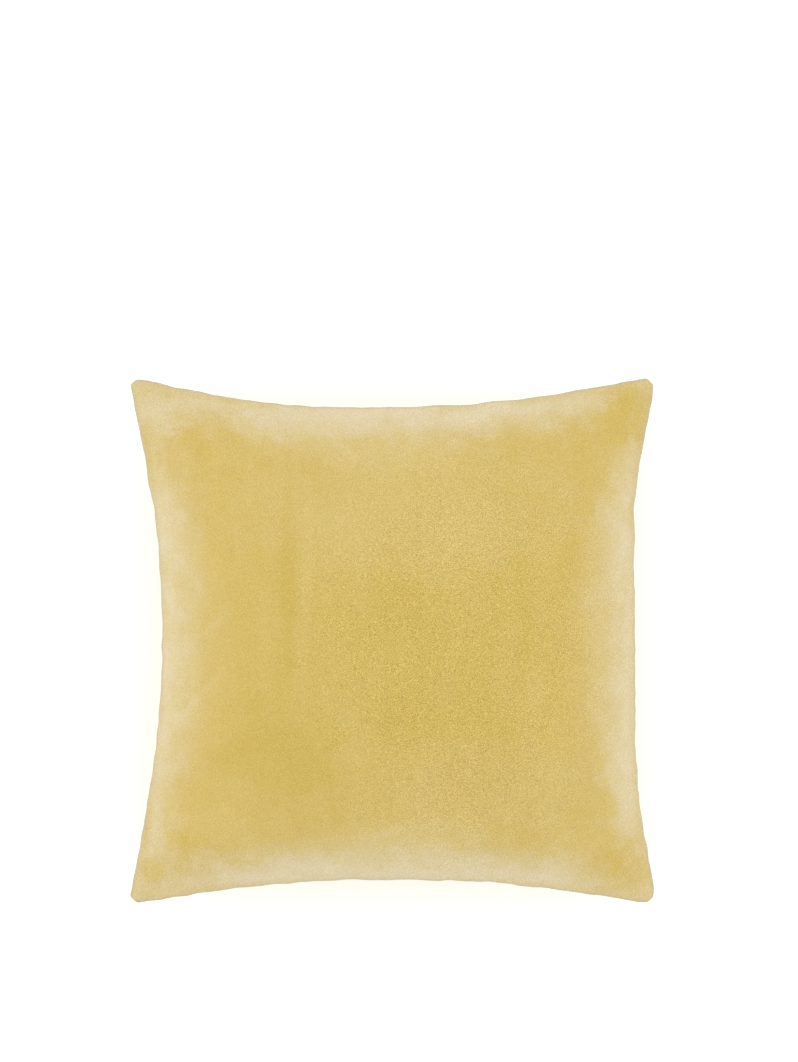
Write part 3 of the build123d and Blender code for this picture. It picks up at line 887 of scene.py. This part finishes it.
def seam_line(surface, inset, spacing):
    """Places along a sewn edge, set in from it: each is a point, and how far along the seam it lies."""
    steps = np.linspace(-1, 1, 401)[:-1]
    ones = np.ones(steps.size)
    u = np.concatenate([steps, ones, -steps, -ones])
    v = np.concatenate([-ones, steps, ones, -steps])
    points = surface(u, v, 1)
    points[:, 0] -= inset * u
    points[:, 1] -= inset * v
    closed = np.vstack([points, points[:1]])
    run = np.concatenate([[0], np.cumsum(np.linalg.norm(np.diff(closed, axis=0), axis=1))])
    along = np.arange(int(run[-1] / spacing)) * spacing
    return np.stack([np.interp(along, run, closed[:, k]) for k in range(3)], axis=1)


def split_at_zip(points, half_length):
    """The run of points left when the zip's opening is cut out of the bottom seam."""
    in_opening = (np.abs(points[:, 0]) < half_length) & (points[:, 1] < -0.15)
    start = int(np.argmax(in_opening))
    turned = np.roll(points, -start, axis=0)
    return turned[~np.roll(in_opening, -start)]


def lockstitch(points, amount):
    """A thread that dips into the cloth at each stitch."""
    path = points.copy()
    path[:, 2] += amount * np.sin(np.arange(len(path)) * math.pi / 2)
    return path


def overlock_loops(outer, inner, rise):
    """Thread whipped over a raw edge, from one face of the allowances round to the other."""
    count = min(len(outer), len(inner))
    path = []
    for k in range(count):
        across, height = ((outer, rise), (inner, 0.0), (outer, -rise), (inner, 0.0))[k % 4]
        path.append((across[k][0], across[k][1], across[k][2] + height))
    return np.array(path)


def sewn(name, node, paths, radius, finish):
    """A piece of sewing made of thread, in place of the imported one."""
    piece = tube(name, [[tuple(p) for p in path] for path in paths], radius)
    dress(piece, material(finish))
    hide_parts(node)
    return piece


def ribbon(name, node, grid, thickness, finish):
    """A strip of tape or ribbon over a grid of points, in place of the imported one."""
    rows, columns = grid.shape[:2]
    points = grid.reshape(-1, 3)
    faces = [
        (i * columns + j, (i + 1) * columns + j, (i + 1) * columns + j + 1, i * columns + j + 1)
        for i in range(rows - 1)
        for j in range(columns - 1)
    ]
    piece = new_piece(name, points, faces)
    thicken(piece, thickness)
    piece.modifiers["Thickness"].offset = 0
    dress(piece, material(finish))
    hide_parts(node)
    return piece


# ---------------------------------------------------------------- operators

class PILLOW_OT_cover(bpy.types.Operator):
    """Make the velvet cover's front and back and let them settle round the filling"""

    bl_idname = "pillow.cover"
    bl_label = "Velvet cover"

    def execute(self, context):
        shape = context.scene.pillow_shape
        cloth["creases"] = settle_panels(shape)
        fold = shape.fold_radius

        def facing(x, at_bottom):
            wide = at_bottom and abs(x) < WINDOW_HALF + 0.003
            return ZIP_FACING if wide else ALLOWANCE

        rows = {"fold": fold, "rows": seam_rows(fold, facing)}
        front = panel_mesh("velvet_front", PANEL_CELLS, 1, lambda u: np.full(u.shape, -1.0), skin, rows)
        axis = grid_axis(PANEL_CELLS)
        edge_of_back = lapped_edge(np.meshgrid(axis, axis, indexing="ij")[0])
        back = panel_mesh("velvet_back", PANEL_CELLS, -1, lambda u: edge_of_back, skin, rows)
        for piece, node in ((front, "cover_front_panel"), (back, "cover_back_panel")):
            thicken(piece, shape.velvet)
            dress(piece, material("Gold velvet"))
            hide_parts(node)
        return {"FINISHED"}


class PILLOW_OT_cover_sewing(bpy.types.Operator):
    """Sew the cover: seam thread, overlocking and the blank care label"""

    bl_idname = "pillow.cover_sewing"
    bl_label = "Cover sewing"

    def execute(self, context):
        stitches = split_at_zip(seam_line(skin, COVER_SEAM_INSET, SEAM_STEP), WINDOW_HALF)
        seam = [lockstitch(stitches, 0.00018)]
        sewn("gold_seam_thread", "cover_seam_thread", seam, 0.00026, "Gold thread")
        clear = WINDOW_HALF + 0.005
        outer, inner = (
            split_at_zip(seam_line(skin, inset, OVERLOCK_STEP), clear) for inset in COVER_OVERLOCK)
        loops = overlock_loops(outer, inner, 0.0014)
        sewn("gold_overlock", "cover_edge_overlock", [loops], 0.00022, "Overlock thread")
        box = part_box("cover_care_label")
        middle = [(box[0][k] + box[1][k]) / 2 for k in range(3)]
        wide, tall = CARE_LABEL
        across = np.linspace(-wide / 2, wide / 2, 17)
        deep = np.linspace(-tall / 2, tall / 2, 9)
        turn = math.atan2(middle[0], SEAM_RADIUS)
        grid = np.array([
            [
                (
                    middle[0] + a * math.cos(turn) + d * math.sin(turn),
                    middle[1] - a * math.sin(turn) + d * math.cos(turn),
                    SEAM_Z + 0.00155 + 0.0006 * (d / tall + 0.5) ** 2 * (1 + math.sin(a * 160)),
                )
                for d in deep
            ]
            for a in across
        ])
        ribbon(
            "blank_care_label", "cover_care_label", grid, RIBBON_THICKNESS, "White satin")
        one_stitch = ((-0.0012, 0.0004), (-0.0008, 0.0), (0.0, -0.00004), (0.0008, 0.0), (0.0012, 0.0004))
        for name, height in (
            ("zip_front_stitching", SEAM_Z - 0.00062),
            ("zip_back_stitching", SEAM_Z - WINDOW_DROP + 0.00062),
        ):
            lean = 1 if "front" in name else -1
            row = []
            for k in range(ZIP_STITCHES):
                along = (k - ZIP_STITCHES // 2) * ZIP_STITCH_PITCH
                row.append([
                    on_seam(along + step, ZIP_STITCH_LINE, height + lean * lift)
                    for step, lift in one_stitch
                ])
            sewn(name.replace("zip_", "gold_"), name, row, 0.00018, "Gold thread")
        tacks = []
        for end in (-1, 1):
            tack = []
            for k in range(TACK_TURNS):
                along = end * (WINDOW_HALF - 0.0003 - 0.0001 * k)
                height = (SEAM_Z - 0.0007, SEAM_Z - WINDOW_DROP + 0.0007)[k % 2]
                tack.append(on_seam(along, 0.0139 + 0.0032 * ((k // 2) % 2), height))
            tacks.append(tack)
        sewn("gold_bar_tacks", "zip_bar_tacks", tacks, 0.00022, "Gold thread")
        return {"FINISHED"}


class PILLOW_OT_zip(bpy.types.Operator):
    """Make the zip: tapes, nylon coils, stops, slider and pull tab"""

    bl_idname = "pillow.zip"
    bl_label = "Zip"

    def execute(self, context):
        for name, side, phase in (("zip_front_coil", 1, 0.0), ("zip_back_coil", -1, 0.5)):
            turns = int((COIL_ENDS[1] - COIL_ENDS[0]) / COIL_PITCH)
            path = []
            for k in range(turns * COIL_STEPS):
                angle = 2 * math.pi * k / COIL_STEPS
                along = COIL_ENDS[0] + COIL_PITCH * (k / COIL_STEPS + phase)
                inward = COIL_MIDDLE + 0.8 * MM * math.cos(angle)
                height = CHAIN_Z + side * (0.75 * MM + 0.95 * MM * math.sin(angle))
                path.append(on_seam(along, inward, height))
            coil = tube(name.replace("zip_", "nylon_"), [path], 0.27 * MM)
            dress(coil, material("Dyed nylon coil"))
            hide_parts(name)
        for name, side in (("zip_front_tape", 1), ("zip_back_tape", -1)):
            level = SEAM_Z - 0.0002 if side > 0 else SEAM_Z - WINDOW_DROP + 0.0002
            drop = abs(CHAIN_Z + side * 0.0010 - level)
            section = [(s, 0.0) for s in np.linspace(0.0195, 0.0122, 7)]
            section += [
                (TAPE_BEND_AT + TAPE_BEND * (1 - math.sin(a)), TAPE_BEND * (1 - math.cos(a)))
                for a in (0.5, 1.0, 1.5)
            ]
            section += [(TAPE_BEND_AT, TAPE_BEND + (drop - TAPE_BEND) * t) for t in (0.35, 0.7, 1.0)]
            grid = []
            for along in np.linspace(-WINDOW_HALF, WINDOW_HALF, 171):
                past_end = np.interp(along, [-0.162, -0.158, 0.164, 0.168], [1, 0, 0, 1])
                longer = 1 + 0.85 * MM / drop * past_end
                grid.append([on_seam(along, s, level - side * fall * longer) for s, fall in section])
            ribbon(
                name.replace("zip_", "woven_"), name, np.array(grid), TAPE_THICKNESS, "Gold zip tape")
        for node, finish in (
            ("zip_top_stops", "Bare aluminium"),
            ("zip_bottom_stop", "Bare aluminium"),
            ("zip_slider", "Gold enamel"),
            ("zip_pull_tab", "Gold enamel"),
        ):
            piece = frame["nodes"][node]
            piece.data.materials.clear()
            piece.data.materials.append(material(finish))
            bevel = piece.modifiers.new("Soft edges", "BEVEL")
            bevel.width = 0.12 * MM
            bevel.segments = 2
            bevel.limit_method = "ANGLE"
        return {"FINISHED"}


def pad_surface(u, v, side, inset, inset_zip, drop):
    """A skin inside the cover, its own seam set in from the cover's."""
    span_x = 1 - inset / HALF
    low = -1 + inset_zip / HALF
    high = 1 - inset / HALF
    at_u = u * span_x
    at_v = low + (v + 1) / 2 * (high - low)
    outer = skin(at_u, at_v, side)
    height = side * (outer[..., 2] - SEAM_Z) - drop
    closing = np.clip((1 - np.abs(u) ** 9) * (1 - np.abs(v) ** 9), 0, 1) ** 0.55
    outer[..., 2] = SEAM_Z + side * np.maximum(height, 0) * closing
    return outer


class PILLOW_OT_insert(bpy.types.Operator):
    """Make the insert pad: case, sewing, label and fibre filling"""

    bl_idname = "pillow.insert"
    bl_label = "Insert pad"

    def execute(self, context):
        def case_skin(u, v, side):
            return pad_surface(u, v, side, CASE_INSET, CASE_INSET_ZIP, CASE_DROP)

        fold = 0.0007
        rows = {"fold": fold, "rows": seam_rows(fold, CASE_ALLOWANCE)}
        for name, side, node in (
            ("nonwoven_front", 1, "insert_front_case"),
            ("nonwoven_back", -1, "insert_back_case"),
        ):
            piece = panel_mesh(name, CASE_CELLS, side, lambda u: np.full(u.shape, -1.0), case_skin, rows)
            thicken(piece, CASE_THICKNESS)
            dress(piece, material("White nonwoven"))
            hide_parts(node)
        self.filling()
        stitches = seam_line(case_skin, CASE_SEAM_INSET, CASE_SEAM_STEP)
        seam = [lockstitch(stitches, 0.00012)]
        sewn("white_seam_thread", "insert_seam_thread", seam, 0.00018, "White thread")
        outer, inner = (seam_line(case_skin, inset, OVERLOCK_STEP) for inset in CASE_OVERLOCK)
        loops = overlock_loops(outer, inner, 0.0008)
        sewn("white_overlock", "insert_edge_overlock", [loops], 0.00016, "White thread")
        edge = seam_line(case_skin, 0.0, 0.0005)
        top = edge[(edge[:, 1] > 0.12) & (np.abs(edge[:, 0]) < 0.075)]
        whips = []
        lean = np.linspace(-1, 1, 7)
        for k in range(CLOSING_STITCHES):
            wanted = (k - (CLOSING_STITCHES - 1) / 2) * CLOSING_PITCH
            x, y, z = top[np.argmin(np.abs(top[:, 0] - wanted))]
            whips.append([(x + 0.0009 * t, y + 0.0009 * (1 - t * t) - 0.0006, z + 0.0011 * t) for t in lean])
        sewn("white_closing_stitch", "insert_closing_stitch", whips, 0.0002, "White thread")
        across, up = np.linspace(-0.80, -0.635, 13), np.linspace(-0.44, -0.285, 13)
        grid = case_skin(*np.meshgrid(across, up, indexing="ij"), 1)
        grid[..., 2] += 0.0008
        ribbon(
            "blank_insert_label", "insert_label", grid, RIBBON_THICKNESS, "White satin")
        return {"FINISHED"}

    def filling(self):
        axis = grid_axis(FILL_CELLS)
        u, v = np.meshgrid(axis, axis, indexing="ij")
        grid = {
            side: pad_surface(u, v, side, FILL_INSET, FILL_INSET_ZIP, FILL_DROP) for side in (1, -1)}
        _, corners, faces = closed_grid(FILL_CELLS)
        points = []
        for side, i, j, edge in corners:
            place = Vector(grid[side][i, j])
            lump = noise.noise(place * 28) + 0.5 * noise.noise(place * 70)
            inward = 0 if edge else -side * 0.0012 * (1 + lump)
            points.append((place.x, place.y, place.z + inward))
        piece = new_piece("fibre_mass", points, faces)
        dress(piece, material("Loose polyester fibre"))
        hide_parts("fibre_filling")


def aim(thing, place, target):
    thing.location = place
    thing.rotation_euler = (Vector(target) - Vector(place)).to_track_quat("-Z", "Y").to_euler()


class PILLOW_OT_studio(bpy.types.Operator):
    """Set the pale floor, the soft lights and the camera"""

    bl_idname = "pillow.studio"
    bl_label = "Studio"

    def execute(self, context):
        scene = context.scene
        studio = scene.pillow_studio
        corners = [(6 * x, 6 * y, 0) for x, y in ((-1, -1), (1, -1), (1, 1), (-1, 1))]
        floor = new_piece("floor", corners, [(0, 1, 2, 3)], smooth=False)
        paint = bpy.data.materials.new("White studio floor")
        paint.use_nodes = True
        shader = paint.node_tree.nodes["Principled BSDF"]
        shader.inputs["Base Color"].default_value = (0.9, 0.9, 0.9, 1)
        shader.inputs["Roughness"].default_value = 1.0
        shader.inputs["Emission Color"].default_value = (1, 1, 1, 1)
        shader.inputs["Emission Strength"].default_value = studio.floor_glow
        floor.data.materials.append(paint)
        world = bpy.data.worlds.new("Studio room")
        scene.world = world
        world.use_nodes = True
        sky = world.node_tree.nodes["Background"]
        sky.inputs["Color"].default_value = (1.0, 1.0, 1.0, 1)
        sky.inputs["Strength"].default_value = studio.sky
        for name, size, power, place in (
            ("key_light", 1.6, studio.key, (0.9, 1.0, 1.7)),
            ("left_light", 1.4, studio.fill, (-1.6, 0.2, 0.9)),
            ("right_light", 1.2, 0.5 * studio.fill, (1.6, -0.3, 0.8)),
        ):
            lamp = bpy.data.lights.new(name, "AREA")
            lamp.size = size
            lamp.energy = power
            light = bpy.data.objects.new(name, lamp)
            scene.collection.objects.link(light)
            aim(light, place, (0, 0, SEAM_Z))
        eye = bpy.data.cameras.new("camera")
        eye.lens = studio.lens
        eye.sensor_fit = "VERTICAL"
        eye.sensor_height = 36.0
        camera = bpy.data.objects.new("camera", eye)
        scene.collection.objects.link(camera)
        distance = studio.frame_height * studio.lens / 36.0
        camera.location = (studio.offset_x, studio.offset_y, SEAM_Z + distance)
        scene.camera = camera
        scene.view_settings.view_transform = "Standard"
        return {"FINISHED"}


STEPS = (PILLOW_OT_cover, PILLOW_OT_cover_sewing, PILLOW_OT_zip, PILLOW_OT_insert, PILLOW_OT_studio)
SETTINGS = (("pillow_shape", PillowShape), ("pillow_colours", PillowColours), ("pillow_studio", PillowStudio))


class PILLOW_PT_panel(bpy.types.Panel):
    """Lists the pillow's settings and the steps of its making"""

    bl_idname = "PILLOW_PT_panel"
    bl_label = "Throw pillow"
    bl_space_type = "VIEW_3D"
    bl_region_type = "UI"
    bl_category = "Pillow"

    def draw(self, context):
        for name, group in SETTINGS:
            box = self.layout.box()
            for field in group.__annotations__:
                box.prop(getattr(context.scene, name), field)
        for step in STEPS:
            self.layout.operator(step.bl_idname)


def register():
    for _, group in SETTINGS:
        bpy.utils.register_class(group)
    for name, group in SETTINGS:
        setattr(bpy.types.Scene, name, bpy.props.PointerProperty(type=group))
    for step in STEPS:
        bpy.utils.register_class(step)
    bpy.utils.register_class(PILLOW_PT_panel)


def unregister():
    bpy.utils.unregister_class(PILLOW_PT_panel)
    for step in reversed(STEPS):
        bpy.utils.unregister_class(step)
    for name, group in reversed(SETTINGS):
        delattr(bpy.types.Scene, name)
        bpy.utils.unregister_class(group)


def main():
    register()
    for step in STEPS:
        group, name = step.bl_idname.split(".")
        getattr(getattr(bpy.ops, group), name)()


if __name__ == "__main__":
    main()
